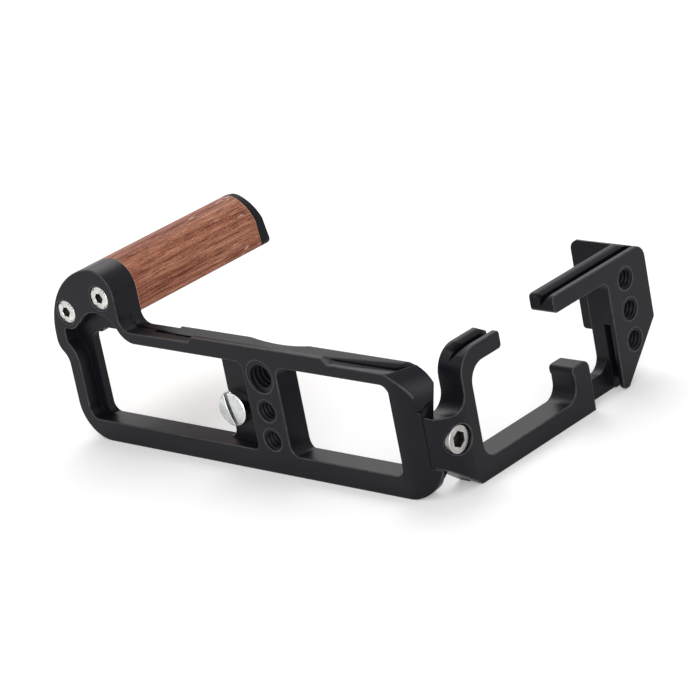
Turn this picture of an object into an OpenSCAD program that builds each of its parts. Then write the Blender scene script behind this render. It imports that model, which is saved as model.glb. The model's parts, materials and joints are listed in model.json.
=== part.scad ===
// Camera L-bracket with a wooden hand grip.
// Origin: mouth of the middle tripod thread, in the clamp face of the base plate.
// +X runs along the base to the side arm, +Y points into the camera, +Z to the camera's front.

/* [Dovetail] */
// Width across the two dovetail edges
dovetail_w = 38; // [37.5:0.1:39]
// Thickness of a dovetail flange at its edge
flange_edge = 1.5; // [1:0.1:1.9]
// Width of the dovetail groove at its mouth, which is also its depth
groove_w = 3.4; // [2.8:0.1:3.6]
// How far the lowered flanges sit under the full-height lip
lip_drop = 1.8; // [0.8:0.1:2]
// Full-height lip, length to the left of the tripod thread
lip_left = 24.5; // [10:0.5:28]
// Full-height lip, length to the right of the tripod thread
lip_right = 24.9; // [10:0.5:30]

/* [Base plate] */
// Thickness of the base plate
base_t = 7; // [6.5:0.1:8]
// Tripod thread to the left edge of the base
base_left = 78.6; // [78:0.1:80]
// Tripod thread to the right end of the base
base_right = 58; // [56:0.5:64]
// Height of the rear bar, under the windows
rear_bar = 6.4; // [5.5:0.1:8]
// Height of the front bar, above the windows
front_bar = 5.2; // [4.8:0.1:6]
// Width of the rib that holds the tripod threads
rib_w = 12.6; // [12:0.2:16]
// Width of the right rail
right_rail = 10.4; // [9:0.1:12]
// Width of the left rail on the camera side
left_rail = 7.3; // [6:0.1:8]
// Wall left standing outside the front pocket
pocket_wall = 4.3; // [3.5:0.1:4.8]
// Depth of the front pocket
pocket_depth = 4.5; // [3.5:0.1:4.9]
// Width of the camera screw's shelf beside the rib
shelf_w = 12.4; // [11:0.1:16]
// How far the camera side stays inside the dovetail edges
seat_relief = 0.5; // [0.2:0.1:0.8]
// Extra relief of the camera side next to the grip
grip_relief = 0.9; // [0.3:0.1:1.2]
// Length of the relieved stretch next to the grip
relief_len = 18.8; // [12:0.2:24]
// Tripod thread to the middle of the lens scallop
scallop_x = 3.4; // [-4:0.2:8]
// Width of the shallow scallop under the lens
scallop_w = 22; // [12:1:30]
// Depth of the shallow scallop under the lens
scallop_depth = 0.9; // [0.4:0.1:1.2]
// Radius of the rear left corner
rear_left_r = 11.2; // [6:0.2:12]
// Radius of the leaning round of the front right corner
front_right_r = 10.1; // [9.8:0.1:10.3]
// Radius of the rear right corner on the clamp side
rear_right_r = 9; // [8:0.1:10]
// Radius of the rear right corner on the camera side
seat_right_r = 10.7; // [10.2:0.1:11]
// Corner radius of the windows
window_r = 3; // [1.5:0.1:4]

/* [Tripod threads] */
// Diameter of the small tripod threads
small_thread_d = 6.35; // [6:0.05:6.6]
// Diameter of the large tripod thread
large_thread_d = 9.525; // [9:0.025:9.8]
// Middle thread to the large thread
large_thread_z = 10.2; // [9.6:0.1:10.6]
// Middle thread to the rear thread
rear_thread_z = 8.7; // [8:0.1:9.2]

/* [Camera screw] */
// Tripod thread to the camera screw, to the left
camera_screw_x = 15.2; // [14.5:0.1:16.5]
// Tripod thread to the camera screw, to the rear
camera_screw_z = 2.2; // [-2:0.1:4]
// Diameter of the camera screw's head
camera_head_d = 10.3; // [9:0.1:10.8]
// Height of the camera screw's head
camera_head_h = 4; // [3.4:0.1:4.2]
// Height of the low dome on the camera screw's head
camera_dome = 0.7; // [0.4:0.1:1]
// Diameter of the relieved neck that runs in the shelf
camera_neck_d = 5; // [4.4:0.1:5.4]
// Diameter of the camera screw's thread
camera_thread_d = 6.35; // [6:0.05:6.4]
// How far the camera screw reaches past the camera seat
camera_reach = 5; // [4:0.1:6]
// Width of the driver slot
slot_w = 1.5; // [1:0.1:2]
// Depth of the driver slot
slot_depth = 1.5; // [0.8:0.1:1.8]
// Turn of the driver slot, degrees from the length of the base
slot_turn = 106; // [0:1:180]

/* [Seat pads] */
// Thickness of the rubber seat pads
pad_t = 1; // [0.8:0.1:1.4]
// How far the seat pads stand out of the camera seat
pad_proud = 0.4; // [0.2:0.05:0.6]
// Width of the seat pads
pad_w = 2.6; // [2:0.1:3]
// Length of the seat pads
pad_len = 22; // [12:1:24]

/* [Grip] */
// Tripod thread to the outer side of the grip
grip_outer = 82; // [81.6:0.1:82.6]
// Tripod thread to the lens side of the grip
grip_inner = 53.4; // [53:0.1:53.6]
// Height of the crown above the middle of the dovetail
grip_crown = 35.2; // [34.8:0.1:36]
// Radius of the long curve on the outer side of the grip
grip_arc_r = 23; // [22:0.1:24]
// Radius of the grip's shoulder on the lens side
grip_nose_r = 8; // [7:0.1:8.4]
// Crown to the rear corner on the lens side
grip_depth = 15.8; // [15:0.1:16.2]
// Slant of the grip's flat back, degrees
grip_tilt = 21; // [18:0.5:22]
// Radius of the two rear corners of the grip
grip_corner = 2; // [1.5:0.1:3]
// Height of the foot that carries the grip, from the clamp face
grip_foot = 9.3; // [8.8:0.1:12]
// Length of the wood
grip_len = 51.3; // [45:0.1:70]
// Thickness of the end cap
cap_t = 3.1; // [2.5:0.1:6]
// Radius of the fillet where the grip's foot meets the front flange
foot_fillet = 3.6; // [2:0.1:4.4]
// Radius at which the arch under the grip runs out into the front bar
arch_run_r = 7; // [5:0.1:7.5]
// How far the foot's toe on the camera side lies under the relieved stretch
toe_drop = 1.2; // [0.8:0.1:1.6]
// Length of the toe's ramp down to the camera seat
toe_ramp = 2.8; // [2:0.1:4]

/* [Grip screws] */
// Distance between the two grip screws
grip_screw_pitch = 16.7; // [15.8:0.1:17.2]
// Slant of the line through the grip screws, degrees
grip_screw_tilt = 21; // [19:0.5:23]
// Lens side of the grip to the middle of the grip screws
grip_screw_x = 14.1; // [13.8:0.1:14.4]
// Crown to the middle of the grip screws, to the rear
grip_screw_drop = 11.6; // [11.2:0.1:12]
// Diameter of the grip screws
grip_screw_d = 4; // [3.5:0.1:4.4]
// Diameter of the grip screws' heads
grip_head_d = 6.8; // [6.4:0.1:7.2]
// Length of the grip screws
grip_screw_len = 20; // [18:0.5:24]
// Hexagon key of the grip screws, across its flats
grip_key = 2.7; // [2:0.1:3]
// Depth of the grip screws' key socket
grip_key_depth = 1.6; // [1:0.1:2]
// Outer diameter of the threaded inserts
insert_d = 6; // [5.6:0.1:6.6]
// Length of the threaded inserts
insert_len = 10; // [6:0.5:12]
// Diameter of the end cap's pegs
peg_d = 5; // [4:0.1:6]
// Length of the end cap's pegs
peg_len = 6; // [4:0.5:10]

/* [Side arm] */
// Thickness of the side arm
arm_t = 8.5; // [8:0.1:9.5]
// How far the side arm stands over the end of the base
arm_lap = 4.9; // [4.4:0.1:5.2]
// Clamp face of the base to the far end of the side arm
arm_len = 95.5; // [92:0.5:105]
// Outside radius of the bend
bend_r = 13.8; // [13:0.1:13.9]
// Depth of the notch in the base that takes the arm's tongue
notch = 2.4; // [1.8:0.1:2.6]
// Clamp face to the near post
near_post_y = 13.85; // [13.85:0.05:15]
// Width of the near post
near_post_w = 3.85; // [3.4:0.05:6]
// Clamp face to the tip of the near hook
near_tip_y = 31.2; // [28:0.1:36]
// Height of the hooks' fingers
finger_h = 5.1; // [4.6:0.1:5.6]
// Height of the lower bar
arm_bar = 6; // [5.2:0.1:7]
// Clamp face to the stub
stub_y = 57.8; // [54:0.1:60]
// Width of the stub
stub_w = 6.9; // [5:0.1:8]
// Height of the stub
stub_h = 15.6; // [12:0.1:20]
// Clamp face to the tip of the far hook
far_tip_y = 54.3; // [48:0.1:58]
// Width of the far plate
far_plate_w = 17.7; // [17.3:0.1:20]
// Height at which the far plate's slanted corner starts
slant_z = 15.8; // [14.6:0.1:18]
// Radius of the far plate's front corner
far_corner_r = 4; // [2:0.1:6]
// Height of the open slot in the far plate
far_slot_h = 20; // [14:0.5:24]
// Width of the open slot in the far plate
far_slot_w = 2.2; // [1.5:0.1:3.4]
// Depth of the open slot in the far plate
far_slot_d = 4; // [2:0.1:4.2]
// Far end to the line of tripod threads
arm_thread_inset = 10; // [9:0.1:10.4]
// Front edge to the first tripod thread in the far plate
arm_thread_drop = 7; // [6:0.1:8]
// Pitch of the tripod threads in the far plate
arm_thread_pitch = 9.15; // [8.4:0.05:9.4]
// How far the end tab reaches in front of the lens side
tab_reach = 14.8; // [8:0.1:20]
// Thickness of the end tab
tab_t = 3.9; // [3:0.1:5]
// Height of the end tab
tab_h = 27.2; // [20:0.1:32]

/* [Arm screw] */
// Diameter of the arm screw
arm_screw_d = 5; // [4:0.1:5]
// Diameter of the arm screw's head
arm_head_d = 8; // [7.5:0.1:8.4]
// Height of the arm screw's head
arm_head_h = 4; // [3.4:0.1:4.2]
// How deep the head sits under the arm's outer face
arm_head_sink = 1; // [0.7:0.1:1.1]
// Camera seat to the arm screw
arm_screw_rise = 2.8; // [2.7:0.1:3]
// Middle of the dovetail to the arm screw, to the rear
arm_screw_z = 3.8; // [3:0.1:5]
// Hexagon key of the arm screw, across its flats
arm_key = 4; // [3:0.5:5]
// Thickness of the base's lug that takes the arm screw
lug_t = 5.2; // [4.6:0.1:5.4]
// Height of the lug above the camera seat
lug_h = 6.5; // [6:0.1:6.8]
// Width of the lug
lug_w = 10; // [9:0.1:11]

/* [Fits] */
// Radial clearance of a shaft that turns in its hole
turn_gap = 0.06; // [0.03:0.01:0.1]
// Clearance under a head that turns on its seat
seat_gap = 0.05; // [0.03:0.01:0.1]
// Clearance between pieces that are screwed or pushed together
fit_gap = 0.02; // [0.01:0.01:0.05]
// Clearance round a fixed screw in a plain hole
screw_gap = 0.15; // [0.1:0.05:0.3]

/* [Hidden] */
$fn = 64;

edge = dovetail_w / 2;
groove_y = flange_edge + groove_w;
seat_top = edge - seat_relief;
flange_top = edge - lip_drop;
window_low = rear_bar - edge;
window_high = edge - front_bar;
grip_left = -grip_outer;
grip_right = -grip_inner;
nose_c = [grip_right - grip_nose_r, grip_crown - grip_nose_r];
arc_x = grip_left + grip_arc_r;
arc_c = [arc_x, nose_c[1] - sqrt(pow(grip_arc_r - grip_nose_r, 2) - pow(nose_c[0] - arc_x, 2))];
arc_turn = atan2(nose_c[1] - arc_c[1], nose_c[0] - arc_c[0]);
flank_r = 5;
flank_z = 11.4;
flank_step = -base_left - grip_left;
flank_drop = sqrt(pow(2 * flank_r, 2) - pow(2 * flank_r - flank_step, 2));
arm_in = base_right - arm_lap;
arm_out = arm_in + arm_t;
seam_x = base_right - notch;
bend_x = arm_out - bend_r;
layer_x = arm_out - groove_y;
finger_low = edge - finger_h;
bar_top = arm_bar - edge;
far_y = arm_len - far_plate_w;
arm_screw_at = [base_t + arm_screw_rise, -arm_screw_z];
corner_at = [base_right - 17.6, seat_top - 10.5];
corner_low = 2.7;
corner_out = 38.6;
corner_up = 5.5;
saddle_r = 4.9;
saddle_z = 3.3;
saddle_c = [near_post_y - saddle_r, saddle_z + saddle_r];
tip_r = 1.2;
hook_bend_r = 7.4;
hook_in_r = 5.4;
far_in_r = 2.4;
bar_end_r = 4.3;
heel_r = 2;
stub_top_r = 2.6;
stub_low_r = 1.6;
stub_lip = 0.4;
tab_corner_r = 3;
tab_low_r = 1;
arm_thread_y = arm_len - arm_thread_inset;
camera_at = [-camera_screw_x, -camera_screw_z];
grip_screw_at = [for (side = [1, -1])
    [grip_right - grip_screw_x, grip_crown - grip_screw_drop]
    + side * grip_screw_pitch / 2 * [cos(grip_screw_tilt), sin(grip_screw_tilt)]];
grip_dome = 0.4;
grip_rim = 0.7;
grip_head_gap = 0.3;
grip_boss = 1.9;
pad_starts = [-32, 20, -60, 14];
front_groove_x = grip_right + 10.5;
arm_groove_end = arm_len - 2;
front_pad_z = (window_high + seat_top) / 2;
rear_pad_z = (window_low - seat_top) / 2;
past = 1;
// Arcs stand this far outside their tangents, so that they cross the sides and don't just touch them
ease = 0.01;

// Extrudes an X-Z outline from y0 to y1
module slab(y0, y1) translate([0, y1, 0]) rotate([90, 0, 0]) linear_extrude(y1 - y0) children();

// Extrudes a Y-Z outline from x0 to x1
module along_x(x0, x1) translate([x0, 0, 0]) rotate([90, 0, 90]) linear_extrude(x1 - x0) children();

// Cylinder or cone along +Y, centred on an X-Z point
module rod_y(at, y0, y1, r, r_end = 0)
    translate([at[0], y0, at[1]]) rotate([-90, 0, 0])
        cylinder(h = y1 - y0, r1 = r, r2 = r_end > 0 ? r_end : r);

// Cylinder along +Y whose near end is domed
module domed_y(at, y0, y1, r, dome) intersection() {
    ball_r = (r * r + dome * dome) / (2 * dome);
    rod_y(at, y0 - past, y1, r);
    translate([at[0], y0 + ball_r, at[1]]) sphere(ball_r);
}

// Cylinder along +X, centred on a Y-Z point
module rod_x(at, x0, x1, r)
    translate([x0, at[0], at[1]]) rotate([0, 90, 0]) cylinder(h = x1 - x0, r = r);

// Rectangle between two corners
module box2(x0, x1, z0, z1) translate([x0, z0]) square([x1 - x0, z1 - z0]);

// Area between a square corner and its arc: added it fills a fillet, cut it rounds a corner
module corner_bit(at, r, sx, sz, over = 0.2)
    translate(at) scale_sign(sx, sz) difference() {
        translate([-over, -over]) square(r + over);
        translate([r, r]) circle(r);
    }

module scale_sign(sx, sz) mirror([sx < 0 ? 1 : 0, 0]) mirror([0, sz < 0 ? 1 : 0]) children();

// Rectangle with its four corners rounded
module window2(x0, x1, z0, z1, r) difference() {
    box2(x0, x1, z0, z1);
    corner_bit([x0, z0], r, 1, 1);
    corner_bit([x1, z0], r, -1, 1);
    corner_bit([x1, z1], r, -1, -1);
    corner_bit([x0, z1], r, 1, -1);
}

// Long hole or strip with round ends, lying along X
module strip2(x0, x1, z, w) {
    box2(x0 + w / 2, x1 - w / 2, z - w / 2, z + w / 2);
    for (x = [x0 + w / 2, x1 - w / 2]) translate([x, z]) circle(w / 2);
}

// What is cut off outside an arc between two outward directions, in degrees
module corner_turn(centre, r, from, to, over = past) {
    half = (to - from) / 2;
    far = (r + over) / cos(half);
    translate(centre) rotate(from + half) difference() {
        polygon([[0, 0], far * cos(half) * [cos(half), -sin(half)], [far, 0],
                 far * cos(half) * [cos(half), sin(half)]]);
        circle(r + ease);
    }
}

// The two arcs of the grip's front: a long one on the outer side, a shoulder on the lens side
module grip_front_cut() {
    corner_turn(arc_c, grip_arc_r, arc_turn - 15, 180, 5 * past);
    corner_turn(nose_c, grip_nose_r + ease, 0, arc_turn, 2 * past);
}

// Section of the grip: round front, flat slanted back with two small corners
module grip_section() {
    inner = [grip_right - grip_corner, grip_crown - grip_depth + grip_corner];
    outer = inner - (grip_right - grip_left - 2 * grip_corner) * [1, tan(grip_tilt)];
    back_z = inner[1] - grip_corner / cos(grip_tilt) + grip_corner * tan(grip_tilt);
    difference() {
        polygon([[grip_left, grip_crown + past], [grip_right, grip_crown + past], [grip_right, back_z],
                 [grip_left, back_z - (grip_right - grip_left) * tan(grip_tilt)]]);
        grip_front_cut();
        corner_turn(outer, grip_corner, 180, 270 + grip_tilt);
        corner_turn(inner, grip_corner, 270 + grip_tilt, 360);
    }
}

// Left side of the base where the grip's foot narrows to the rail in two tangent arcs
module foot_flank(inset) {
    upper = [grip_left + flank_r, flank_z];
    lower = [-base_left - flank_r, flank_z - flank_drop];
    meet = upper + (flank_r - inset) / (2 * flank_r) * (lower - upper);
    difference() {
        union() {
            translate(upper) circle(flank_r - inset + ease);
            polygon([upper, meet, lower + [flank_r + inset, 0], [-left_reach(), lower[1]],
                     [-left_reach(), flank_z]]);
        }
        translate(lower) circle(flank_r + inset);
    }
}
function left_reach() = base_left - left_rail - 4;

// The grip's foot and its fillet into the front flange, down to the level where the rail starts
module foot_outline(top) {
    difference() {
        box2(grip_left, grip_right, flank_z, grip_crown + past);
        grip_front_cut();
    }
    foot_flank(0);
    corner_bit([grip_right - ease, top - ease], foot_fillet, 1, 1);
}

// Outline of the clamp side: full-height lip in the middle, lowered flanges beside it
module front_outline() difference() {
    union() {
        box2(-base_left, base_right, -edge, flange_top);
        polygon([[-lip_left - lip_drop, flange_top], [-lip_left, edge], [lip_right, edge],
                 [lip_right + lip_drop, flange_top], [lip_right, window_high],
                 [-lip_left, window_high]]);
        foot_outline(flange_top);
    }
    corner_bit([-base_left, -edge], rear_left_r, 1, 1, past);
}

// Outline of the camera side, with the relief beside the grip and the lens scallop
module back_outline() difference() {
    step_x = grip_right + relief_len;
    relief_top = seat_top - grip_relief;
    scallop_r = (pow(scallop_w / 2, 2) + pow(scallop_depth, 2)) / (2 * scallop_depth);
    union() {
        box2(-base_left, base_right, -edge, relief_top);
        box2(step_x, base_right, window_high, seat_top);
        corner_bit([step_x, relief_top], grip_relief, -1, 1);
        foot_outline(relief_top);
    }
    translate([scallop_x, seat_top - scallop_depth + scallop_r]) circle(scallop_r, $fn = 128);
    corner_bit([-base_left, -edge], rear_left_r, 1, 1, past);
    corner_bit([base_right, -seat_top], seat_right_r, -1, 1, past);
    box2(-base_left - past, base_right + past, -edge - past, -seat_top);
}

// Pocket in the clamp face: shelf, left window and the arch between the grip screws
module pocket_outline() {
    boss_r = grip_head_d / 2 + grip_boss;
    arch_r = 9.2;
    arch_c = [grip_right - arch_r, window_high - 1.2];
    wall_x = grip_left + pocket_wall;
    arch_top = window_high + 4;
    run_c = [arch_c[0] + sqrt(pow(arch_r + arch_run_r, 2) - pow(window_high + arch_run_r - arch_c[1], 2)),
             window_high + arch_run_r];
    shelf_r = 2.7;
    difference() {
        union() {
            box2(-base_left + pocket_wall, -rib_w / 2, window_low, window_high);
            box2(wall_x, arch_c[0], flank_z, arch_top);
            foot_flank(pocket_wall);
            translate(arch_c) circle(arch_r);
            difference() {
                polygon([arch_c, run_c, [run_c[0], window_high - past], [arch_c[0], window_high - past]]);
                translate(run_c) circle(arch_run_r + ease);
            }
        }
        for (at = grip_screw_at) translate(at) circle(boss_r);
        corner_bit([wall_x, arch_top - 2], 2, 1, -1, 2.2);
        corner_bit([-base_left + pocket_wall, window_low], window_r, 1, 1);
        corner_bit([-rib_w / 2, window_low], window_r / 2, -1, 1);
        corner_bit([-rib_w / 2, window_high], shelf_r, -1, -1);
    }
}

// Left window, which rises a little under the arch
module left_window() {
    rise_x = grip_right - grip_nose_r;
    window2(left_rail - base_left, -rib_w / 2 - shelf_w, window_low, window_high, window_r);
    window2(rise_x - 5.6, rise_x + 5, window_low + rear_bar, window_high + 1.6, window_r);
}

// Groove behind a dovetail flange, as a Y-Z or X-Z outline with the flange's face at zero
module groove2(side) scale_sign(1, side)
    polygon([[flange_edge, edge], [groove_y, edge - groove_w], [groove_y, edge + past],
             [flange_edge, edge + past]]);

// What is cut off outside the cylinder that rounds the front right corner; it leans outwards on
// its way to the camera side
module front_corner_cut() {
    reach = 2 * front_right_r;
    translate([corner_at[0], 0, corner_at[1]]) rotate([0, 0, -corner_out]) rotate([corner_up, 0, 0])
        difference() {
            translate([0, -reach, -corner_low]) cube([reach, 4 * reach, reach + corner_low]);
            rod_y([0, 0], -2 * reach, 4 * reach, front_right_r);
        }
}

// What is cut off outside the cylinder that rounds the rear right corner
module rear_corner_cut() {
    at = [base_right - rear_right_r, rear_right_r - edge];
    difference() {
        slab(-past, base_t + past) translate(at) scale_sign(1, -1) square(rear_right_r + 3 * past);
        rod_y(at, -2 * past, base_t + 2 * past, rear_right_r + 2 * ease);
    }
}

// What is cut off outside the bend from the clamp face to the arm's outer face
module bend_cut() difference() {
    translate([bend_x, -past, -edge - past])
        cube([bend_r + past, bend_r + past, dovetail_w + 2 * past]);
    translate([bend_x, bend_r, -edge - 2 * past]) cylinder(h = dovetail_w + 4 * past, r = bend_r);
}

// Tongue and neck of the side arm, seen from its outer face; the gap grows it for its notch
module neck_outline(gap) {
    tongue_top = 6.9;
    tongue_low = -8.2;
    waist = [4.4, 3.8];
    heel = [5.9, -11.8];
    difference() {
        polygon([[0, tongue_top + gap], waist + [0, gap], saddle_c - [0, saddle_r - gap],
                 [near_post_y, saddle_c[1]], [near_post_y + 2.4, saddle_c[1]],
                 [near_post_y + 2.4, -edge], [near_post_y + 1, -edge],
                 heel - [0, gap], [0, tongue_low - gap]]);
        translate(saddle_c) circle(saddle_r - gap);
    }
}

// Posts, hooks, bar and far plate of the side arm, seen from its outer face
module arm_outline() {
    post_in = near_post_y + near_post_w;
    stub_top = stub_h - edge;
    stub_end = stub_y + stub_w;
    tip_w = 2.5;
    neck_outline(0);
    difference() {
        union() {
            box2(near_post_y, post_in, -edge, edge);
            box2(near_post_y, near_tip_y, finger_low, edge);
        }
        corner_bit([near_post_y, edge], hook_bend_r, 1, -1);
        corner_bit([near_tip_y, edge], tip_r, -1, -1);
        corner_bit([near_tip_y, finger_low], tip_r, -1, 1);
        corner_bit([near_post_y, -edge], heel_r, 1, 1);
    }
    corner_bit([post_in, finger_low], hook_in_r, 1, -1);
    box2(near_post_y + heel_r, stub_end, -edge, bar_top);
    corner_bit([post_in, bar_top], bar_end_r, 1, 1);
    difference() {
        union() {
            box2(stub_y, stub_end, -edge, stub_top);
            box2(stub_y - stub_lip, stub_end, stub_top - 2 * tip_r, stub_top);
        }
        corner_bit([stub_y - stub_lip, stub_top], tip_r, 1, -1);
        corner_bit([stub_end, stub_top], stub_top_r, -1, -1);
        corner_bit([stub_end, -edge], stub_low_r, -1, 1);
    }
    corner_bit([stub_y, bar_top], bar_end_r, -1, 1);
    difference() {
        union() {
            box2(far_tip_y, arm_len, finger_low, edge);
            polygon([[far_y, edge], [far_y, 1.4 - edge], [far_y + 0.9, 0.4 - edge],
                     [far_y + tip_w, 0.4 - edge], [arm_len, slant_z - edge], [arm_len, edge]]);
        }
        corner_bit([arm_len, edge], far_corner_r, -1, -1);
        corner_bit([far_tip_y, edge], tip_r, 1, -1);
        corner_bit([far_tip_y, finger_low], tip_r, 1, 1);
    }
    corner_bit([far_y, finger_low], far_in_r, -1, -1);
}

// Strip of the inner layer that ties the stub to the far plate
module link_outline() {
    box2(stub_y + stub_w / 2, far_y + 2, -edge, bar_top);
    corner_bit([far_y, bar_top], bar_end_r, -1, 1);
}

// One of the four strips on the camera seat: front left, front right, rear left, rear right
module pad_strip(i, grow)
    strip2(pad_starts[i] - grow, pad_starts[i] + pad_len + grow, i < 2 ? front_pad_z : rear_pad_z,
           pad_w + 2 * grow);

// Toe of the grip's foot on the camera side, with a ramp down to the seat
module foot_toe() {
    low = window_high + 0.4;
    top = seat_top - grip_relief - toe_drop;
    back = grip_right - 2 * past;
    fillet_end = grip_right + foot_fillet;
    slope = toe_ramp / (grip_foot - base_t);
    intersection() {
        slab(base_t - past, grip_foot) {
            corner_bit([grip_right - ease, top - ease], foot_fillet, 1, 1);
            box2(back, fillet_end + toe_ramp + past, low, top);
            box2(back, grip_right, low, nose_c[1]);
        }
        translate([0, 0, low - past]) linear_extrude(grip_crown)
            polygon([[back - past, base_t - 2 * past],
                     [fillet_end + toe_ramp + 2 * past * slope, base_t - 2 * past],
                     [fillet_end - past * slope, grip_foot + past], [back - past, grip_foot + past]]);
    }
}

module base_blank() {
    slab(0, groove_y) front_outline();
    slab(groove_y, base_t) back_outline();
    slab(base_t - past, grip_foot) {
        grip_section();
        box2(nose_c[0], grip_right, flange_top, nose_c[1]);
    }
    foot_toe();
}

module base_lug() {
    low = arm_screw_at[1] - lug_w / 2;
    slab(base_t - past, base_t + lug_h) box2(arm_in - lug_t, arm_in, low, low + lug_w);
}

module base_plate() color("#2c2d30") difference() {
    union() {
        difference() {
            base_blank();
            slab(-past, pocket_depth) pocket_outline();
            slab(-past, base_t + past) {
                left_window();
                window2(rib_w / 2, base_right - right_rail, window_low, window_high, window_r);
            }
            along_x(front_groove_x, base_right + past) groove2(1);
            along_x(rear_left_r - base_left, base_right + past) groove2(-1);
            front_corner_cut();
            rear_corner_cut();
            bend_cut();
            along_x(seam_x - fit_gap, base_right + past) neck_outline(fit_gap);
            slab(base_t - pad_t + pad_proud, base_t + past) for (i = [0 : 3]) pad_strip(i, fit_gap);
        }
        rod_y(camera_at, pocket_depth, base_t, camera_head_d / 2);
        base_lug();
    }
    for (z = [0, -rear_thread_z]) rod_y([0, z], -past, base_t + past, small_thread_d / 2);
    rod_y([0, large_thread_z], -past, base_t + past, large_thread_d / 2);
    rod_y(camera_at, 0, base_t + past, camera_neck_d / 2 + turn_gap);
    rod_x(arm_screw_at, arm_in - lug_t - past, arm_in + past, arm_screw_d / 2);
    for (at = grip_screw_at) {
        rod_y(at, -past, grip_foot + past, grip_screw_d / 2 + screw_gap);
        rod_y(at, -past, grip_rim, grip_head_d / 2 + grip_head_gap);
        rod_y(at, grip_rim - fit_gap, grip_rim + grip_head_d / 2, grip_head_d / 2 + 2 * fit_gap, fit_gap);
    }
}

module side_arm() color("#2c2d30") difference() {
    union() {
        along_x(arm_in, arm_out) arm_outline();
        along_x(arm_in, layer_x) link_outline();
        slab(arm_len - tab_t, arm_len) difference() {
            box2(arm_in - tab_reach, arm_in + past, edge - tab_h, edge);
            corner_bit([arm_in - tab_reach, edge], tab_corner_r, 1, -1);
            corner_bit([arm_in - tab_reach, edge - tab_h], tab_low_r, 1, 1);
        }
    }
    along_x(arm_in - tab_reach - past, arm_out + past)
        corner_bit([arm_len, edge], far_corner_r, -1, -1, past);
    slab(near_post_y - past, near_tip_y + past) arm_groove(1);
    slab(far_tip_y - past, arm_groove_end) arm_groove(1);
    slab(base_t, stub_y + stub_w + past) arm_groove(-1);
    along_x(arm_out - flange_edge - far_slot_w, arm_out - flange_edge)
        box2(far_y - past, far_y + far_slot_d, -edge - past, far_slot_h - edge);
    for (i = [0 : 2])
        rod_x([arm_thread_y, edge - arm_thread_drop - i * arm_thread_pitch], arm_in - past,
              arm_out + past, small_thread_d / 2);
    rod_x(arm_screw_at, arm_in - past, arm_out + past, arm_screw_d / 2 + screw_gap);
    rod_x(arm_screw_at, arm_out - arm_head_sink - arm_head_h - seat_gap, arm_out + past,
          arm_head_d / 2 + screw_gap);
    translate([arm_in - past, -past, -edge]) cube([seam_x - arm_in + past, base_t + past, dovetail_w]);
    bend_cut();
}

// The dovetail groove of the side arm, opening past its outer face's flange
module arm_groove(side) translate([arm_out, 0]) mirror([1, 0]) groove2(side);

module arm_screw() color("silver") {
    head_x = arm_out - arm_head_sink;
    difference() {
        union() {
            rod_x(arm_screw_at, head_x - arm_head_h, head_x, arm_head_d / 2);
            rod_x(arm_screw_at, arm_in - lug_t, head_x, arm_screw_d / 2 - turn_gap);
        }
        translate([head_x - arm_head_h / 2, arm_screw_at[0], arm_screw_at[1]]) rotate([0, 90, 0])
            cylinder(h = arm_head_h, d = arm_key / cos(30), $fn = 6);
    }
}

module camera_screw() color("silver") {
    seat = pocket_depth - seat_gap;
    neck_end = base_t + 0.6;
    tip = base_t + camera_reach;
    bevel = 0.7;
    difference() {
        union() {
            domed_y(camera_at, seat - camera_head_h, seat, camera_head_d / 2, camera_dome);
            rod_y(camera_at, seat - past, neck_end + past, camera_neck_d / 2);
            rod_y(camera_at, neck_end, tip - bevel, camera_thread_d / 2);
            rod_y(camera_at, tip - bevel, tip, camera_thread_d / 2, camera_thread_d / 2 - bevel);
        }
        slab(seat - camera_head_h - past, seat - camera_head_h + slot_depth)
            translate(camera_at) rotate(slot_turn) square([camera_head_d + past, slot_w], center = true);
    }
}

module seat_pad(i) color("#1b1b1c")
    slab(base_t - pad_t + pad_proud, base_t + pad_proud) pad_strip(i, 0);

module front_left_pad() seat_pad(0);

module front_right_pad() seat_pad(1);

module rear_left_pad() seat_pad(2);

module rear_right_pad() seat_pad(3);

module grip_wood() color("#7a3b22") difference() {
    wood_end = grip_foot + grip_len;
    slab(grip_foot, wood_end) grip_section();
    for (at = grip_screw_at) {
        rod_y(at, grip_foot - past, grip_foot + insert_len + past, insert_d / 2 + fit_gap);
        rod_y(at, grip_foot, grip_screw_len + past, grip_screw_d / 2 + screw_gap);
        rod_y(at, wood_end - peg_len - past, wood_end + past, peg_d / 2 + fit_gap);
    }
}

module grip_insert(at) color("#b08d3c") difference() {
    rod_y(at, grip_foot, grip_foot + insert_len, insert_d / 2);
    rod_y(at, grip_foot - past, grip_foot + insert_len + past, grip_screw_d / 2 + fit_gap);
}

module front_grip_insert() grip_insert(grip_screw_at[0]);

module rear_grip_insert() grip_insert(grip_screw_at[1]);

module grip_screw(at) color("silver") difference() {
    union() {
        domed_y(at, 0, grip_rim, grip_head_d / 2, grip_dome);
        rod_y(at, grip_rim, grip_rim + (grip_head_d - grip_screw_d) / 2, grip_head_d / 2, grip_screw_d / 2);
        rod_y(at, grip_rim / 2, grip_screw_len, grip_screw_d / 2);
    }
    rod_hex_y(at, grip_key_depth, grip_key);
}

module front_grip_screw() grip_screw(grip_screw_at[0]);

module rear_grip_screw() grip_screw(grip_screw_at[1]);

// Hexagon key socket sunk from the clamp face
module rod_hex_y(at, depth, key)
    translate([at[0], -past, at[1]]) rotate([-90, 0, 0])
        cylinder(h = depth + past, d = key / cos(30), $fn = 6);

module grip_end_cap() color("#1f1f21") {
    cap_y = grip_foot + grip_len;
    slab(cap_y, cap_y + cap_t) grip_section();
    for (at = grip_screw_at) rod_y(at, cap_y - peg_len, cap_y + cap_t / 2, peg_d / 2);
}

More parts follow.
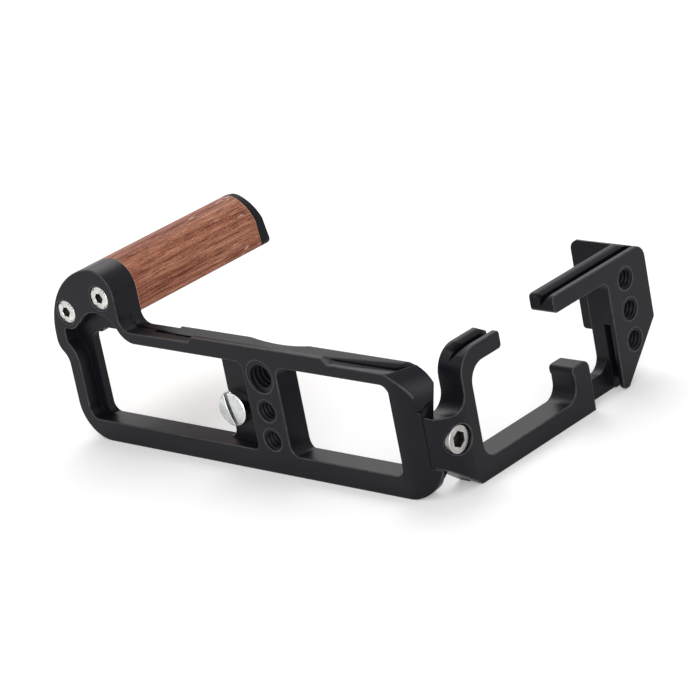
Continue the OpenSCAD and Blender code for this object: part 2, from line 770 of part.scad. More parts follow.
base_plate();
side_arm();
arm_screw();
camera_screw();
grip_wood();
grip_end_cap();
front_grip_screw();
rear_grip_screw();
front_grip_insert();
rear_grip_insert();
front_left_pad();
front_right_pad();
rear_left_pad();
rear_right_pad();
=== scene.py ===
import json
import math

import bmesh
import bpy
from mathutils import Matrix, Quaternion, Vector


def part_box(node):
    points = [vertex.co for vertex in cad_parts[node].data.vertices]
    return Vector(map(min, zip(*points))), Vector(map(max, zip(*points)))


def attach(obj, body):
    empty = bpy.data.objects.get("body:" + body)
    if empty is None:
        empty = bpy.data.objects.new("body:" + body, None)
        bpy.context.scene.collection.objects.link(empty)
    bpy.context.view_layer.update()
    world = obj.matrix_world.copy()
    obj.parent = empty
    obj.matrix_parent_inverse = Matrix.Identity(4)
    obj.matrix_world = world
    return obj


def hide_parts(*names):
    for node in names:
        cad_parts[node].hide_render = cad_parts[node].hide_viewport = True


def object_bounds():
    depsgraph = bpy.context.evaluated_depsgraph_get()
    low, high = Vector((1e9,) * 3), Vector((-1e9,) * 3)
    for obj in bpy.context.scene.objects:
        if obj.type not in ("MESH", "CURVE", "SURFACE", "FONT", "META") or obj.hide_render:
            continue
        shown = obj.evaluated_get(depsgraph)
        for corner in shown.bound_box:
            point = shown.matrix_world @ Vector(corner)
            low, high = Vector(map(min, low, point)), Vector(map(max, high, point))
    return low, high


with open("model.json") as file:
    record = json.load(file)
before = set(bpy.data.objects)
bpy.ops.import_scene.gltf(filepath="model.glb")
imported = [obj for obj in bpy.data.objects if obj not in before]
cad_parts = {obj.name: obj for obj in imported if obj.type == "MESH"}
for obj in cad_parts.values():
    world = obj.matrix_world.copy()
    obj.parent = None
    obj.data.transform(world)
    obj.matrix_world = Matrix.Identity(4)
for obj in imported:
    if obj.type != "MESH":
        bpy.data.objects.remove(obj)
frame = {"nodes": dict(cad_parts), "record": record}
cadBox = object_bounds()
nodes = frame["nodes"]
mounts = {m["name"]: m for m in frame["record"]["mounts"]}
mm = 0.001
print("frame loaded:", len(nodes), "nodes")


class Value:
    # one socket; arithmetic on it adds Math nodes
    def __init__(self, shader, socket):
        self.shader = shader
        self.socket = socket

    def math(self, operation, a, b):
        return self.shader.node("ShaderNodeMath", {"operation": operation}, {0: a, 1: b})

    def __add__(self, other):
        return self.math("ADD", self, other)

    def __radd__(self, other):
        return self.math("ADD", other, self)

    def __sub__(self, other):
        return self.math("SUBTRACT", self, other)

    def __mul__(self, other):
        return self.math("MULTIPLY", self, other)

    def __rmul__(self, other):
        return self.math("MULTIPLY", other, self)


class Shader:
    # one material; node() adds a node and returns one of its outputs
    def __init__(self, name, **constants):
        self.material = bpy.data.materials.new(name)
        self.material.use_nodes = True
        self.tree = self.material.node_tree
        self.surface = self.tree.nodes["Principled BSDF"]
        self.output = self.tree.nodes["Material Output"]
        for socket, value in constants.items():
            self.surface.inputs[socket.replace("_", " ")].default_value = value

    def node(self, kind, settings=None, values=None, out=0):
        made = self.tree.nodes.new(kind)
        for key, value in (settings or {}).items():
            if key == "stops":
                ramp = made.color_ramp
                while len(ramp.elements) < len(value):
                    ramp.elements.new(0.5)
                for element, (at, colour) in zip(ramp.elements, value):
                    element.position = at
                    element.color = colour if hasattr(colour, "__len__") else (colour, colour, colour, 1)
            else:
                setattr(made, key, value)
        for key, value in (values or {}).items():
            self.link(value, made.inputs[key])
        return Value(self, made.outputs[out])

    def link(self, value, socket):
        if isinstance(value, Value):
            self.tree.links.new(value.socket, socket)
        else:
            socket.default_value = value

    def place(self, scale=(1, 1, 1)):
        coords = self.node("ShaderNodeTexCoord", out="Object")
        return self.node("ShaderNodeMapping", None, {"Vector": coords, "Scale": scale})

    def noise(self, where, scale, detail, roughness, distortion=0.0):
        # scale is in grains per metre
        return self.node("ShaderNodeTexNoise", None, {
            "Vector": where, "Scale": scale, "Detail": detail, "Roughness": roughness,
            "Distortion": distortion})

    def attribute(self, name):
        return self.node("ShaderNodeAttribute", {"attribute_name": name}, out="Fac")

    def ramp(self, fac, *stops):
        return self.node("ShaderNodeValToRGB", {"stops": stops}, {"Fac": fac})

    def mix(self, fac, a, b):
        return self.node("ShaderNodeMix", {"data_type": "RGBA"}, {0: fac, 6: a, 7: b}, out=2)

    def bump(self, height, strength, distance, normal=None):
        values = {"Height": height, "Strength": strength, "Distance": distance}
        if normal:
            values["Normal"] = normal
        return self.node("ShaderNodeBump", None, values)

    def edgeRound(self, radius):
        return self.node("ShaderNodeBevel", {"samples": 6}, {"Radius": radius})

    def paint(self, **links):
        for socket, value in links.items():
            self.link(value, self.surface.inputs[socket.replace("_", " ")])
        return self.material


anodised = {
    "body": (0.0044, 0.0041, 0.0068, 1),
    "bodyLight": (0.0080, 0.0076, 0.0112, 1),
    "edgeWearAndHighlight": (0.085, 0.084, 0.088, 1),     # wear along the edges, lightened further as a painted highlight
    "roughness": 0.28,
    "specular": 0.16,
    "grain": (4200, 3, 0.65),             # blasted grain
    "cloud": (70, 3, 0.55),
    "patchyEdge": (420, 4, 0.6),
    "bump": (0.4, 0.03 * mm),
    "edge": 0.28 * mm,                    # how far every other edge is eased
}


def makeAnodised():
    s = Shader("black_anodised_metal", Specular_IOR_Level=anodised["specular"], IOR=1.5)
    where = s.place()
    grain = s.noise(where, *anodised["grain"])
    cloud = s.noise(where, *anodised["cloud"])
    shade = s.ramp(0.7 * grain + 0.3 * cloud, (0.36, 0.0), (0.64, 1.0))
    body = s.mix(shade, anodised["body"], anodised["bodyLight"])
    patchyEdge = s.ramp(s.noise(where, *anodised["patchyEdge"]), (0.3, 0.35), (0.7, 1.0))
    # edges: wear and a painted highlight, broken up by noise
    return s.paint(
        Base_Color=s.mix(0.7 * s.attribute("rim") * patchyEdge, body, anodised["edgeWearAndHighlight"]),
        Roughness=anodised["roughness"] + 0.08 * cloud + 0.06 * grain,
        Normal=s.bump(grain, *anodised["bump"], s.edgeRound(anodised["edge"])))


wood = {
    "dark": (0.125, 0.034, 0.023, 1),
    "mid": (0.305, 0.113, 0.066, 1),
    "light": (0.50, 0.240, 0.148, 1),
    "pore": (0.060, 0.014, 0.010, 1),
    "fleck": (0.56, 0.43, 0.37, 1),
    "cut": (0.46, 0.25, 0.165, 1),        # bare wood along the cut edges
    "specular": 0.08,
    "bump": (0.4, 0.06 * mm),
    "flecked": (30 * mm, 42 * mm),        # along Y, where the flecks set in
}
# how far each noise is drawn out along the grain, and the noise
woodNoise = {
    "band": (0.022, 620, 4, 0.6, 0.4),
    "fibre": (0.022, 3600, 5, 0.78),
    "speck": (0.3, 4400, 2, 0.6),
    "pores": (0.03, 4200, 2, 0.5),
    "flecks": (0.2, 1250, 1, 0.4),
    "patch": (1, 95, 2, 0.5),
}


def makeWood():
    s = Shader("red_brown_wood", Specular_IOR_Level=wood["specular"], IOR=1.5)
    band, fibre, speck, pores, flecks, patch = [
        s.noise(s.place((1, along, 1)), *grain) for along, *grain in woodNoise.values()]
    along = s.node("ShaderNodeSeparateXYZ", None, {0: s.place()}, out="Y")
    farEnd = s.ramp(along, (wood["flecked"][0], 0.0), (wood["flecked"][1], 1.0))
    tone = s.ramp(0.34 * band + 0.42 * fibre + 0.24 * speck,
                  (0.41, wood["dark"]), (0.5, wood["mid"]), (0.59, wood["light"]))
    poreMask = s.ramp(pores, (0.56, 0.0), (0.64, 1.0))
    fleckMask = s.ramp(flecks + 0.5 * patch, (0.955, 0.0), (0.99, 1.0))
    colour = s.mix(0.75 * poreMask, tone, wood["pore"])
    colour = s.mix(0.7 * fleckMask * farEnd, colour, wood["fleck"])
    colour = s.mix(0.8 * s.attribute("rim"), colour, wood["cut"])
    return s.paint(
        Base_Color=colour,
        Roughness=0.52 + 0.12 * poreMask - 0.08 * fibre,
        Normal=s.bump(fibre - 0.8 * poreMask, *wood["bump"]))


steel = {
    "bright": (0.74, 0.73, 0.71, 1),
    "dull": (0.52, 0.51, 0.49, 1),
    "rim": (0.86, 0.86, 0.85, 1),         # painted highlight along the edges
    "recess": (0.035, 0.032, 0.030, 1),   # painted shade deep in the sockets
    "roughness": 0.24,
    "cloud": (420, 3, 0.6, 0.5),
    "scuffs": (3400, 2, 0.6),
    "bump": (0.06, 0.03 * mm),
}
satin = {
    **steel,
    "bright": (0.44, 0.425, 0.41, 1),
    "dull": (0.33, 0.32, 0.31, 1),
    # painted highlight on the edges and painted shade in the drive, as in bright steel
    "rim": (0.50, 0.49, 0.48, 1),
    "recess": (0.012, 0.011, 0.010, 1),
    "roughness": 0.34,
}
chrome = {
    **steel,
    "bright": (0.70, 0.70, 0.70, 1),
    "dull": (0.52, 0.53, 0.54, 1),
    "recess": (0.26, 0.27, 0.28, 1),      # painted shade in the slot, kept fairly light as the slot mirrors its own bright walls
    "roughness": 0.14,
}


def makeSteel(name, look):
    s = Shader(name, Metallic=1.0)
    where = s.place()
    cloud = s.noise(where, *look["cloud"])
    scuffs = s.noise(where, *look["scuffs"])
    # the drive's faces are painted in shade, varied a little by the scuffs
    recess = s.attribute("recess")
    body = s.mix(s.ramp(cloud, (0.35, 0.0), (0.65, 1.0)), look["bright"], look["dull"])
    # painted highlight along the broken edges
    body = s.mix(0.8 * s.attribute("rim"), body, look["rim"])
    return s.paint(
        Base_Color=s.mix(recess * (0.75 + 0.25 * scuffs), body, look["recess"]),
        Roughness=look["roughness"] - 0.08 + 0.12 * cloud + 0.05 * scuffs + 0.2 * recess,
        Normal=s.bump(scuffs, *look["bump"]))


capFinish = {
    "dark": (0.0085, 0.0088, 0.0100, 1),
    "light": (0.0150, 0.0156, 0.0172, 1),
    "roughness": 0.45,
    "specular": 0.08,
    "grain": (3800, 3, 0.6),
    "cloud": (120, 2, 0.5),
    "bump": (0.25, 0.04 * mm),
}


def makeCapFinish():
    s = Shader("black_cap", Specular_IOR_Level=capFinish["specular"], IOR=1.5)
    where = s.place()
    grain = s.noise(where, *capFinish["grain"])
    cloud = s.noise(where, *capFinish["cloud"])
    return s.paint(
        Base_Color=s.mix(0.5 * grain + 0.5 * cloud, capFinish["dark"], capFinish["light"]),
        Roughness=capFinish["roughness"] + 0.12 * grain,
        Normal=s.bump(grain, *capFinish["bump"]))


rubber = {
    "dark": (0.012, 0.012, 0.012, 1),
    "dusty": (0.03, 0.03, 0.029, 1),
    "roughness": 0.62,
    "specular": 0.3,
    "grain": (2600, 3, 0.65),
    "dust": (180, 3, 0.6),
    "bump": (0.4, 0.06 * mm),
}


def makeRubber():
    s = Shader("seat_rubber", Specular_IOR_Level=rubber["specular"], IOR=1.5)
    where = s.place()
    grain = s.noise(where, *rubber["grain"])
    dust = s.noise(where, *rubber["dust"])
    return s.paint(
        Base_Color=s.mix(dust, rubber["dark"], rubber["dusty"]),
        Roughness=rubber["roughness"] + 0.2 * grain,
        Normal=s.bump(grain, *rubber["bump"]))


brass = {
    "colour": (0.66, 0.48, 0.2, 1),
    "tarnish": (0.42, 0.29, 0.12, 1),
    "roughness": 0.25,
    "cloud": (500, 3, 0.6),
}


def makeBrass():
    s = Shader("plain_brass", Metallic=1.0)
    cloud = s.noise(s.place(), *brass["cloud"])
    return s.paint(
        Base_Color=s.mix(cloud, brass["colour"], brass["tarnish"]),
        Roughness=brass["roughness"] + 0.2 * cloud)


finishes = {
    "black_anodised": makeAnodised(),
    "steel": makeSteel("bright_steel", steel),
    "wood": makeWood(),
    "cap_black": makeCapFinish(),
    "brass": makeBrass(),
    "rubber": makeRubber(),
}
satinSteel = makeSteel("satin_steel", satin)
chromedSteel = makeSteel("chromed_steel", chrome)
print("finishes made:", len(finishes) + 2)


bodies = frame["record"]["behaviour"]["bodies"]
bodyOf = {node: body for body, members in bodies.items() for node in members}
slotOf = {p["node"]: p["material_slot"] for p in frame["record"]["subparts"]}
for name, obj in nodes.items():
    obj.data.materials.clear()
    obj.data.materials.append(finishes[slotOf[name]])


def finishPiece(bm, name, slot, body, smoothAngle=35, finish=None):
    mesh = bpy.data.meshes.new(name)
    bm.to_mesh(mesh)
    bm.free()
    mesh.shade_smooth()
    mesh.set_sharp_from_angle(angle=math.radians(smoothAngle))
    mesh.materials.clear()
    mesh.materials.append(finish or finishes[slot])
    obj = bpy.data.objects.new(name, mesh)
    bpy.context.scene.collection.objects.link(obj)
    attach(obj, body)
    return obj


def weigh(obj):
    # large faces keep their own normal, so only the broken edges shade round
    modifier = obj.modifiers.new("weigh", "WEIGHTED_NORMAL")
    modifier.mode = "FACE_AREA"
    modifier.keep_sharp = True


close = {
    "weld": 0.002 * mm,
    "flat": 0.5,                # faces that lie in one plane, degrees
    "plane": 0.005 * mm,
    "skin": 0.02 * mm,
    "wall": 0.01 * mm,
    "height": 0.02 * mm,        # of a hole's rim along its axis
    "radius": 0.04 * mm,        # and across it
    "sharp": 24,                # edges below this aren't broken, degrees
}


def mergedCopy(node):
    bm = bmesh.new()
    bm.from_mesh(nodes[node].data)
    # face layers for the edge colour with its painted highlight, and for the painted shade in the drives
    for name in ("rim", "recess"):
        bm.faces.layers.float.new(name)
    bmesh.ops.remove_doubles(bm, verts=bm.verts, dist=close["weld"])
    bmesh.ops.dissolve_limit(bm, angle_limit=math.radians(close["flat"]), verts=bm.verts, edges=bm.edges,
                             use_dissolve_boundaries=False, delimit=set())
    return bm


def isRim(edge, at, axis, radius):
    # both ends lie on the circle about the axis at that point
    offsets = [v.co - at for v in edge.verts]
    heights = [o.dot(axis) for o in offsets]
    radii = [(o - h * axis).length for o, h in zip(offsets, heights)]
    return (all(abs(h) < close["height"] for h in heights)
            and all(abs(r - radius) < close["radius"] for r in radii))


def onPlane(axis, level, start=-1.0, stop=1.0):
    # convex edges in one plane across an axis, between two places along X
    def chosen(edge):
        return edge.is_convex and all(
            abs(v.co[axis] - level) < close["plane"] and start < v.co.x < stop for v in edge.verts)
    return chosen


# the bend from the clamp face round to the arm's outer face
bend = {"x": 47.8 * mm, "y": 13.8 * mm, "r": 13.8 * mm}


def skinDepth(at):
    # how far a point lies inside the clamp face, the bend and the arm's outer face
    if at.x < bend["x"]:
        return at.y
    if at.y > bend["y"]:
        return bend["x"] + bend["r"] - at.x
    return bend["r"] - math.hypot(at.x - bend["x"], at.y - bend["y"])


def onSkin(edge):
    # convex edges of that outer skin
    return edge.is_convex and all(abs(skinDepth(v.co)) < close["skin"] for v in edge.verts)


def breakEdges(bm, width, segments, chosen=lambda e: e.is_convex, edgeWearAndHighlight=lambda at: 1.0):
    limit = math.radians(close["sharp"])
    edges = [e for e in bm.edges
             if len(e.link_faces) == 2 and e.calc_face_angle(0) > limit and chosen(e)]
    made = bmesh.ops.bevel(bm, geom=edges, offset=width, offset_type="OFFSET", segments=segments,
                           profile=0.5, affect="EDGES", clamp_overlap=False, loop_slide=False,
                           material=-1)
    # the new faces take the edge colour: wear, and on the metal a painted highlight
    layer = bm.faces.layers.float["rim"]
    for face in made["faces"]:
        face[layer] = edgeWearAndHighlight(face.calc_center_median())


def standIn(node, breaks, recess=None, before=None, after=None, finish=None):
    # the node itself, merged, with chosen edges broken and its hollows marked for painted shade
    bm = mergedCopy(node)
    if before:
        before(bm)
    if recess:
        layer = bm.faces.layers.float["recess"]
        for face in bm.faces:
            face[layer] = recess(face)
    for rule in breaks:
        breakEdges(bm, *rule)
    if after:
        after(bm)
    obj = finishPiece(bm, node + "_finished", slotOf[node], bodyOf[node], finish=finish)
    weigh(obj)
    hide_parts(node)


threadHoles = [n for n, m in mounts.items() if m["kind"] == "threaded_hole"]


def rimOf(name):
    # the outer rim of a threaded hole
    at, axis = Vector(mounts[name]["pos_m"]), Vector(mounts[name]["axis"])
    radius = mounts[name]["dims"]["r_mm"] * mm
    return lambda edge: isRim(edge, at, axis, radius)


seatY = mounts["tripod_thread"]["dims"]["length_mm"] * mm      # the plate's face on the camera side
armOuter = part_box("side_arm")[1].x
armInner = armOuter - mounts["arm_rear_thread"]["dims"]["length_mm"] * mm
millEdge = (0.33 * mm, 3)                                      # width and segments on the milled faces
seatEdge = (-50 * mm, 55 * mm)                                 # where the camera side has them, along X
rimEdge = {"base": (0.11 * mm, 1), "arm": (0.1 * mm, 1)}       # countersinks of the tripod threads
seam = {"x": (52.8 * mm, 56.5 * mm), "y": 8 * mm, "z": 9.6 * mm}     # where the two milled pieces meet


# no edge colour and no painted highlight
def plainEdge(at):
    return 0.0


def wearAndHighlightOffSeam(at):
    # edges get the wear colour with its painted highlight, except at the seam, whose edges lie close
    # together and keep their colour
    atSeam = seam["x"][0] < at.x < seam["x"][1] and at.y < seam["y"] and at.z < seam["z"]
    return 0.0 if atSeam else 1.0


groove = {
    "wall": 4.9 * mm,       # from the outer skin to the wall behind the flange
    "low": 15.6 * mm,       # the wall's foot
    "base": 18.5 * mm,      # its upper edge on the base
    "arm": 19.0 * mm,       # and on the arm
    "from": -36 * mm,       # along X on the base
    "baseLean": (1.3 * mm, 1.1 * mm),      # how far the upper edge leans over and falls
    "armLean": (0.45 * mm, 0.4 * mm),
}
# right flank of the rib, which leans out towards the camera side
ribBack = {"x": 6.3 * mm, "reach": 3.0 * mm, "lean": 1.2 * mm, "z": 13.2 * mm}
# end of the base above the arm's neck
ledge = {"x": 55.62 * mm, "low": 3.4 * mm, "high": 6.85 * mm, "slope": 0.78}


def leanOver(at, high):
    # how much of the lean a point on the groove's wall takes
    return (at.z - groove["low"]) / (high - groove["low"])


def baseEnd(z):
    # where the base ends along X at a height above the arm's neck
    return ledge["x"] + max(z - ledge["high"], 0) * ledge["slope"]


def shapeBase(bm):
    for vert in bm.verts:
        at = vert.co
        onWall = abs(at.y - groove["wall"]) < close["wall"]
        if onWall and at.z > groove["low"] and at.x > groove["from"]:
            share = leanOver(at, groove["base"])
            at.y -= groove["baseLean"][0] * share
            at.z -= groove["baseLean"][1] * share
        onSeat = abs(at.y - seatY) < close["wall"]
        share = 1 - (at.x - ribBack["x"]) / ribBack["reach"]
        if onSeat and abs(at.z) < ribBack["z"] and 0 < share < 1.01:
            at.x += ribBack["lean"] * share
        if at.z > ledge["low"] and at.y < seatY + close["wall"]:
            at.x = min(at.x, baseEnd(at.z))


def shapeArm(bm):
    wall = armOuter - groove["wall"]
    for vert in bm.verts:
        at = vert.co
        if abs(at.x - wall) < close["wall"] and at.z > groove["low"]:
            share = leanOver(at, groove["arm"])
            at.x += groove["armLean"][0] * share
            at.z -= groove["armLean"][1] * share


standIn("base_plate", [
    *[(*rimEdge["base"], rimOf(n), plainEdge) for n in threadHoles if "tripod" in n],
    (*millEdge, onSkin, wearAndHighlightOffSeam),
    (*millEdge, onPlane(1, seatY, *seatEdge)),
], before=shapeBase)
standIn("side_arm", [
    *[(*rimEdge["arm"], rimOf(n), plainEdge) for n in threadHoles if n.startswith("arm")],
    (*millEdge, onSkin, wearAndHighlightOffSeam),
    (*millEdge, onPlane(0, armInner)),
], before=shapeArm)

# the leaning round of the base's front right corner, closed over the end of the groove
corner = {
    "at": (40.4 * mm, 0, 8.0 * mm),
    "out": -38.6,               # lean to the right, degrees
    "up": 5.5,                  # rise towards the camera side
    "r": 10.115 * mm,
    "wall": 0.8 * mm,
    "end": 58 * mm,             # the base's right end
    "turn": (-17, 58),          # stretch of the round, degrees
    "fade": (4, 14),            # low down it comes forward to the clamp face: from, over
    "least": 0.03,              # share of the inset that stays there
    "inset": (0.36 * mm, 0.05 * mm),      # from the clamp face and from the other faces
    "rows": 40,
    "columns": 8,
    "step": 0.02 * mm,          # of the search along a line of the round
    "search": (-600, 1000),     # steps
    "smooth": 50,
}


def cornerPoint(turn, radius, along):
    place = (Matrix.Translation(corner["at"])
             @ Matrix.Rotation(math.radians(corner["out"]), 4, "Z")
             @ Matrix.Rotation(math.radians(corner["up"]), 4, "X"))
    return place @ Vector((radius * math.cos(turn), along, radius * math.sin(turn)))


def cornerReach(turn):
    # first and last place inside the base along one line of the round
    front, back = corner["inset"]
    since, over = corner["fade"]
    front *= min(max((math.degrees(turn) - since) / over, corner["least"]), 1)
    inside = []
    for k in range(*corner["search"]):
        at = cornerPoint(turn, corner["r"], k * corner["step"])
        end = min(corner["end"], baseEnd(at.z))
        if skinDepth(at) > front and at.y < seatY - back and at.x < end - back:
            inside.append(k * corner["step"])
    return inside[0], inside[-1]


def roundCorner():
    bm = bmesh.new()
    rows, columns = corner["rows"], corner["columns"]
    low, high = corner["turn"]
    turns = [math.radians(low + (high - low) * i / rows) for i in range(rows + 1)]
    reaches = [cornerReach(turn) for turn in turns]
    outer, inner = [
        [[bm.verts.new(cornerPoint(turn, radius, first + (last - first) * j / columns))
          for j in range(columns + 1)] for turn, (first, last) in zip(turns, reaches)]
        for radius in (corner["r"], corner["r"] - corner["wall"])]
    for shell in (outer, inner):
        for a, b in zip(shell, shell[1:]):
            for j in range(columns):
                bm.faces.new((a[j], a[j + 1], b[j + 1], b[j]))
    border = [*[(0, j) for j in range(columns)],
              *[(i, columns) for i in range(rows)],
              *[(rows, j) for j in range(columns, 0, -1)],
              *[(i, 0) for i in range(rows, 0, -1)]]
    for (i, j), (k, m) in zip(border, [*border[1:], border[0]]):
        bm.faces.new((outer[i][j], outer[k][m], inner[k][m], inner[i][j]))
    bmesh.ops.recalc_face_normals(bm, faces=bm.faces)
    finishPiece(bm, "base_plate_corner", "black_anodised", "bracket", corner["smooth"])


roundCorner()

woodStart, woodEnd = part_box("grip_wood")[0].y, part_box("grip_wood")[1].y
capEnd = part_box("grip_end_cap")[1].y
capSlant = {"thick": 4.0 * mm, "z": 20 * mm, "slope": 0.13, "most": 4.2 * mm}
# round of the lens side at the grip's far end
shoulder = {"x": -65.4 * mm, "z": 23.2 * mm, "r": 12 * mm}
gripEdge = {"wood": (0.2 * mm, 2), "cap": (0.6 * mm, 5)}       # width and segments
padEdge = (0.2 * mm, 2)


def flattenShoulder(bm):
    # towards the far end the round of the lens side grows larger
    for vert in bm.verts:
        off = Vector((vert.co.x - shoulder["x"], 0, vert.co.z - shoulder["z"]))
        along = min(max((vert.co.y - woodStart) / (woodEnd - woodStart), 0), 1)
        if off.x > 0 and off.z > 0 and off.length > shoulder["r"]:
            vert.co -= along * (off.length - shoulder["r"]) * off.normalized()


def slantCap(bm):
    # the cap is thickest at the grip's back and thins out towards its crown
    flattenShoulder(bm)
    for vert in bm.verts:
        over = (vert.co.y - woodEnd) / (capEnd - woodEnd)
        if over > 0:
            thick = capSlant["thick"] - capSlant["slope"] * (vert.co.z - capSlant["z"])
            vert.co.y = woodEnd + over * min(thick, capSlant["most"])


standIn("grip_wood", [gripEdge["wood"]], after=flattenShoulder)
standIn("grip_end_cap", [(*gripEdge["cap"], onPlane(1, capEnd))], after=slantCap)
for padNode in ("front_left_pad", "front_right_pad", "rear_left_pad", "rear_right_pad"):
    standIn(padNode, [padEdge])

# dark: how strongly each drive is painted in shade
gripScrew = {
    "axis": (0, -1, 0), "socket": 1.7 * mm, "depth": 2.4 * mm, "edge": (0.25 * mm, 3), "dark": 1.0}
screwHead = {
    "front_grip_screw": gripScrew,
    "rear_grip_screw": gripScrew,
    "arm_screw": {
        "axis": (1, 0, 0), "socket": 2.5 * mm, "depth": 3.2 * mm, "edge": (0.3 * mm, 3), "dark": 1.0,
        "finish": satinSteel},
    "camera_screw": {
        "axis": (0, -1, 0), "socket": 4.9 * mm, "depth": 1.8 * mm, "edge": (0.15 * mm, 3), "dark": 0.8,
        "finish": chromedSteel, "rim": (0.65 * mm, 4), "rimFrom": 4.9 * mm},
}
drive = {"crown": 0.05 * mm, "floor": 0.9 * mm, "facing": 0.5}     # what tells the drive from the crown
headDepth = 1.2 * mm


def headFrame(node):
    # a point's distance from the head's axis and its depth below the crown
    axis = Vector(screwHead[node]["axis"])
    low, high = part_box(node)
    middle = (Vector(low) + Vector(high)) / 2
    crown = max(Vector(low).dot(axis), Vector(high).dot(axis))

    def measure(at):
        off = (at - middle) - (at - middle).dot(axis) * axis
        return off.length, crown - at.dot(axis)
    return measure


def recessOf(node):
    # faces of the drive, which lie inside the head and not on its crown, painted in shade
    spec, measure = screwHead[node], headFrame(node)

    def inside(face):
        off, sink = measure(face.calc_center_median())
        isFloor = face.normal.dot(Vector(spec["axis"])) > drive["facing"]
        deep = off < spec["socket"] and drive["crown"] < sink < spec["depth"]
        return spec["dark"] if deep and (not isFloor or sink > drive["floor"]) else 0.0
    return inside


def outerRim(node, beyond):
    # upper edge of the head, further from its axis than that
    measure = headFrame(node)

    def chosen(edge):
        places = [measure(v.co) for v in edge.verts]
        return edge.is_convex and all(off > beyond and sink < headDepth for off, sink in places)
    return chosen


for screwNode, spec in screwHead.items():
    cuts = [spec["edge"]]
    if "rim" in spec:
        cuts.insert(0, (*spec["rim"], outerRim(screwNode, spec["rimFrom"])))
    standIn(screwNode, cuts, recess=recessOf(screwNode), finish=spec.get("finish"))
print("edges broken")


# ridges of the tripod threads, which the solids hold as plain holes
threadForm = {
    "small": {"pitch": 1.27 * mm, "depth": 0.62 * mm},
    "large": {"pitch": 1.5875 * mm, "depth": 1.3 * mm},
    "largeFrom": 4 * mm,                # radius
    "steps": 40,                        # per turn
    "foot": 0.94,                       # width of the ridge at the wall, as a share of the pitch
    "crest": 0.12,                      # and of its flat crest
    "sunk": 0.02 * mm,                  # into the wall
    "clear": (0.18 * mm, 0.05 * mm),    # from the outer mouth and from the far one
    "cut": 0.0001 * mm,
    "smooth": 50,
}


def threadRidge(name, mount):
    radius = mount["dims"]["r_mm"] * mm
    length = mount["dims"]["length_mm"] * mm
    form = threadForm["large" if radius > threadForm["largeFrom"] else "small"]
    pitch, steps = form["pitch"], threadForm["steps"]
    root, crest = radius + threadForm["sunk"], radius - form["depth"]
    half, flat = threadForm["foot"] * pitch / 2, threadForm["crest"] * pitch / 2
    bm = bmesh.new()
    profile = [bm.verts.new((r, 0, z)) for r, z in
               ((root, -half), (crest, -flat), (crest, flat), (root, half))]
    start = bm.faces.new(profile)
    turns = math.ceil(length / pitch) + 2
    bmesh.ops.spin(bm, geom=[start, *start.edges, *start.verts], cent=(0, 0, 0), axis=(0, 0, 1),
                   dvec=(0, 0, pitch / steps), angle=turns * math.tau, steps=turns * steps,
                   use_merge=False, use_duplicate=False)
    bmesh.ops.translate(bm, verts=bm.verts, vec=(0, 0, -pitch))
    near, far = threadForm["clear"]
    for z, side in ((near, -1), (length - far, 1)):
        cut = bmesh.ops.bisect_plane(bm, geom=[*bm.verts, *bm.edges, *bm.faces], dist=threadForm["cut"],
                                     plane_co=(0, 0, z), plane_no=(0, 0, side), clear_outer=True)
        openEdges = [e for e in cut["geom_cut"] if isinstance(e, bmesh.types.BMEdge)]
        bmesh.ops.holes_fill(bm, edges=openEdges)
    bmesh.ops.recalc_face_normals(bm, faces=bm.faces)
    inward = -Vector(mount["axis"])
    turn = inward.to_track_quat("Z", "Y").to_matrix().to_4x4()
    bmesh.ops.transform(bm, matrix=Matrix.Translation(mount["pos_m"]) @ turn, verts=bm.verts)
    finishPiece(bm, name, "black_anodised", "bracket", threadForm["smooth"])


for holeName in threadHoles:
    threadRidge(holeName + "_ridge", mounts[holeName])
print("thread ridges cut:", len(threadHoles))


stage = {
    "floorZ": cadBox[0][2],
    "floorSize": 6.0,
    "floorColour": (0.82, 0.82, 0.82, 1),
    "floorLift": 0.25,         # own glow of the floor to the camera, so that it reads white
    "worldLight": 0.62,
    "key": {"at": (-0.5, 0.52, 0.88), "size": 1.0, "watts": 6.5},
    "fill": {"at": (0.7, -0.65, 0.35), "size": 0.9, "watts": 5.5},
}


def seenDirectly(s):
    # 1 for camera, mirror and glass rays, 0 for the light itself
    paths = s.tree.nodes.new("ShaderNodeLightPath")
    names = ("Is Camera Ray", "Is Glossy Ray", "Is Transmission Ray")
    camera, mirror, glass = [Value(s, paths.outputs[n]) for n in names]
    seen = camera + mirror + glass
    return seen.math("MINIMUM", seen, 1.0)


def makeFloor():
    bm = bmesh.new()
    bmesh.ops.create_grid(bm, x_segments=1, y_segments=1, size=stage["floorSize"] / 2)
    bmesh.ops.translate(bm, verts=bm.verts, vec=(0, 0, stage["floorZ"]))
    mesh = bpy.data.meshes.new("floor")
    bm.to_mesh(mesh)
    bm.free()
    s = Shader("pale_floor", Specular_IOR_Level=0.0, Roughness=1.0, Base_Color=stage["floorColour"])
    lift = stage["floorLift"] * seenDirectly(s)
    glow = s.node("ShaderNodeEmission", None, {"Color": (1, 1, 1, 1), "Strength": lift})
    both = s.node("ShaderNodeAddShader", None, {0: Value(s, s.surface.outputs[0]), 1: glow})
    s.link(both, s.output.inputs["Surface"])
    mesh.materials.append(s.material)
    floor = bpy.data.objects.new("floor", mesh)
    bpy.context.scene.collection.objects.link(floor)


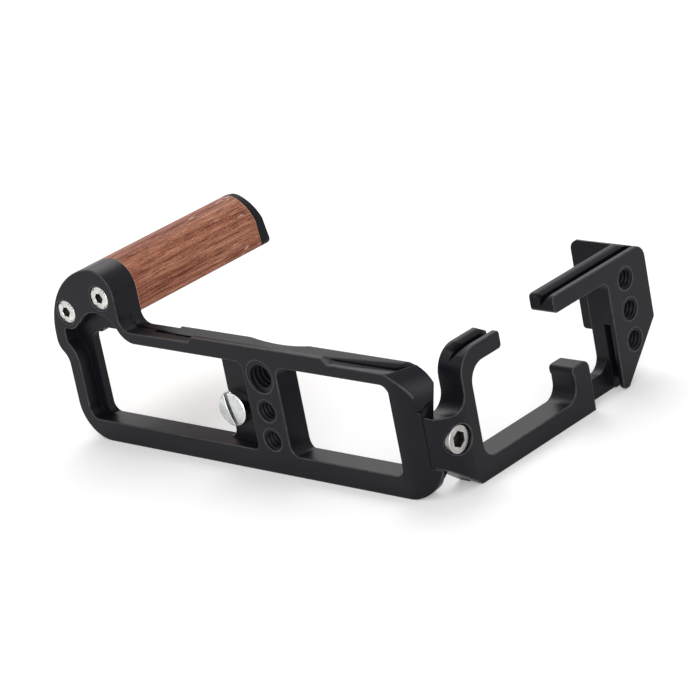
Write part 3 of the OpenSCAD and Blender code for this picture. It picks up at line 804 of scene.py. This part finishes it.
def makeWorld():
    world = bpy.data.worlds.new("studio")
    bpy.context.scene.world = world
    world.use_nodes = True
    tree = world.node_tree
    paths = tree.nodes.new("ShaderNodeLightPath")
    seen = tree.nodes.new("ShaderNodeMath")
    seen.operation = "MAXIMUM"
    tree.links.new(paths.outputs["Is Camera Ray"], seen.inputs[0])
    tree.links.new(paths.outputs["Is Glossy Ray"], seen.inputs[1])
    level = tree.nodes.new("ShaderNodeMapRange")
    level.inputs["To Min"].default_value = stage["worldLight"]
    level.inputs["To Max"].default_value = 1.0
    tree.links.new(seen.outputs[0], level.inputs["Value"])
    background = tree.nodes["Background"]
    background.inputs["Color"].default_value = (1, 1, 1, 1)
    tree.links.new(level.outputs[0], background.inputs["Strength"])


def makeLamp(name, spec, target):
    data = bpy.data.lights.new(name, "AREA")
    data.shape = "DISK"
    data.size = spec["size"]
    data.energy = spec["watts"]
    lamp = bpy.data.objects.new(name, data)
    lamp.location = spec["at"]
    lamp.rotation_euler = (Vector(target) - lamp.location).to_track_quat("-Z", "Y").to_euler()
    bpy.context.scene.collection.objects.link(lamp)


view = {
    "target": (-5.96 * mm, 41.54 * mm, 0.23 * mm),
    "azimuth": 45.785,      # to the right of the clamp face, degrees
    "elevation": 20.844,
    "roll": -11.154,
    "distance": 886.15 * mm,
    "lens": 160.66,
    "sensor": 36,
    "clip": 10 * mm,
}


def makeCamera():
    azimuth, elevation = math.radians(view["azimuth"]), math.radians(view["elevation"])
    towards = Vector((math.sin(azimuth) * math.cos(elevation),
                      -math.cos(azimuth) * math.cos(elevation),
                      math.sin(elevation)))
    data = bpy.data.cameras.new("camera")
    data.lens = view["lens"]
    data.sensor_width = view["sensor"]
    data.sensor_fit = "HORIZONTAL"
    data.clip_start = view["clip"]
    camera = bpy.data.objects.new("camera", data)
    look = (-towards).to_track_quat("-Z", "Y") @ Quaternion((0, 0, 1), math.radians(view["roll"]))
    camera.location = Vector(view["target"]) + towards * view["distance"]
    camera.rotation_euler = look.to_euler()
    bpy.context.scene.collection.objects.link(camera)
    bpy.context.scene.camera = camera


makeFloor()
makeWorld()
makeLamp("key", stage["key"], view["target"])
makeLamp("fill", stage["fill"], view["target"])
makeCamera()
bpy.context.scene.view_settings.view_transform = "Standard"
print("stage set")
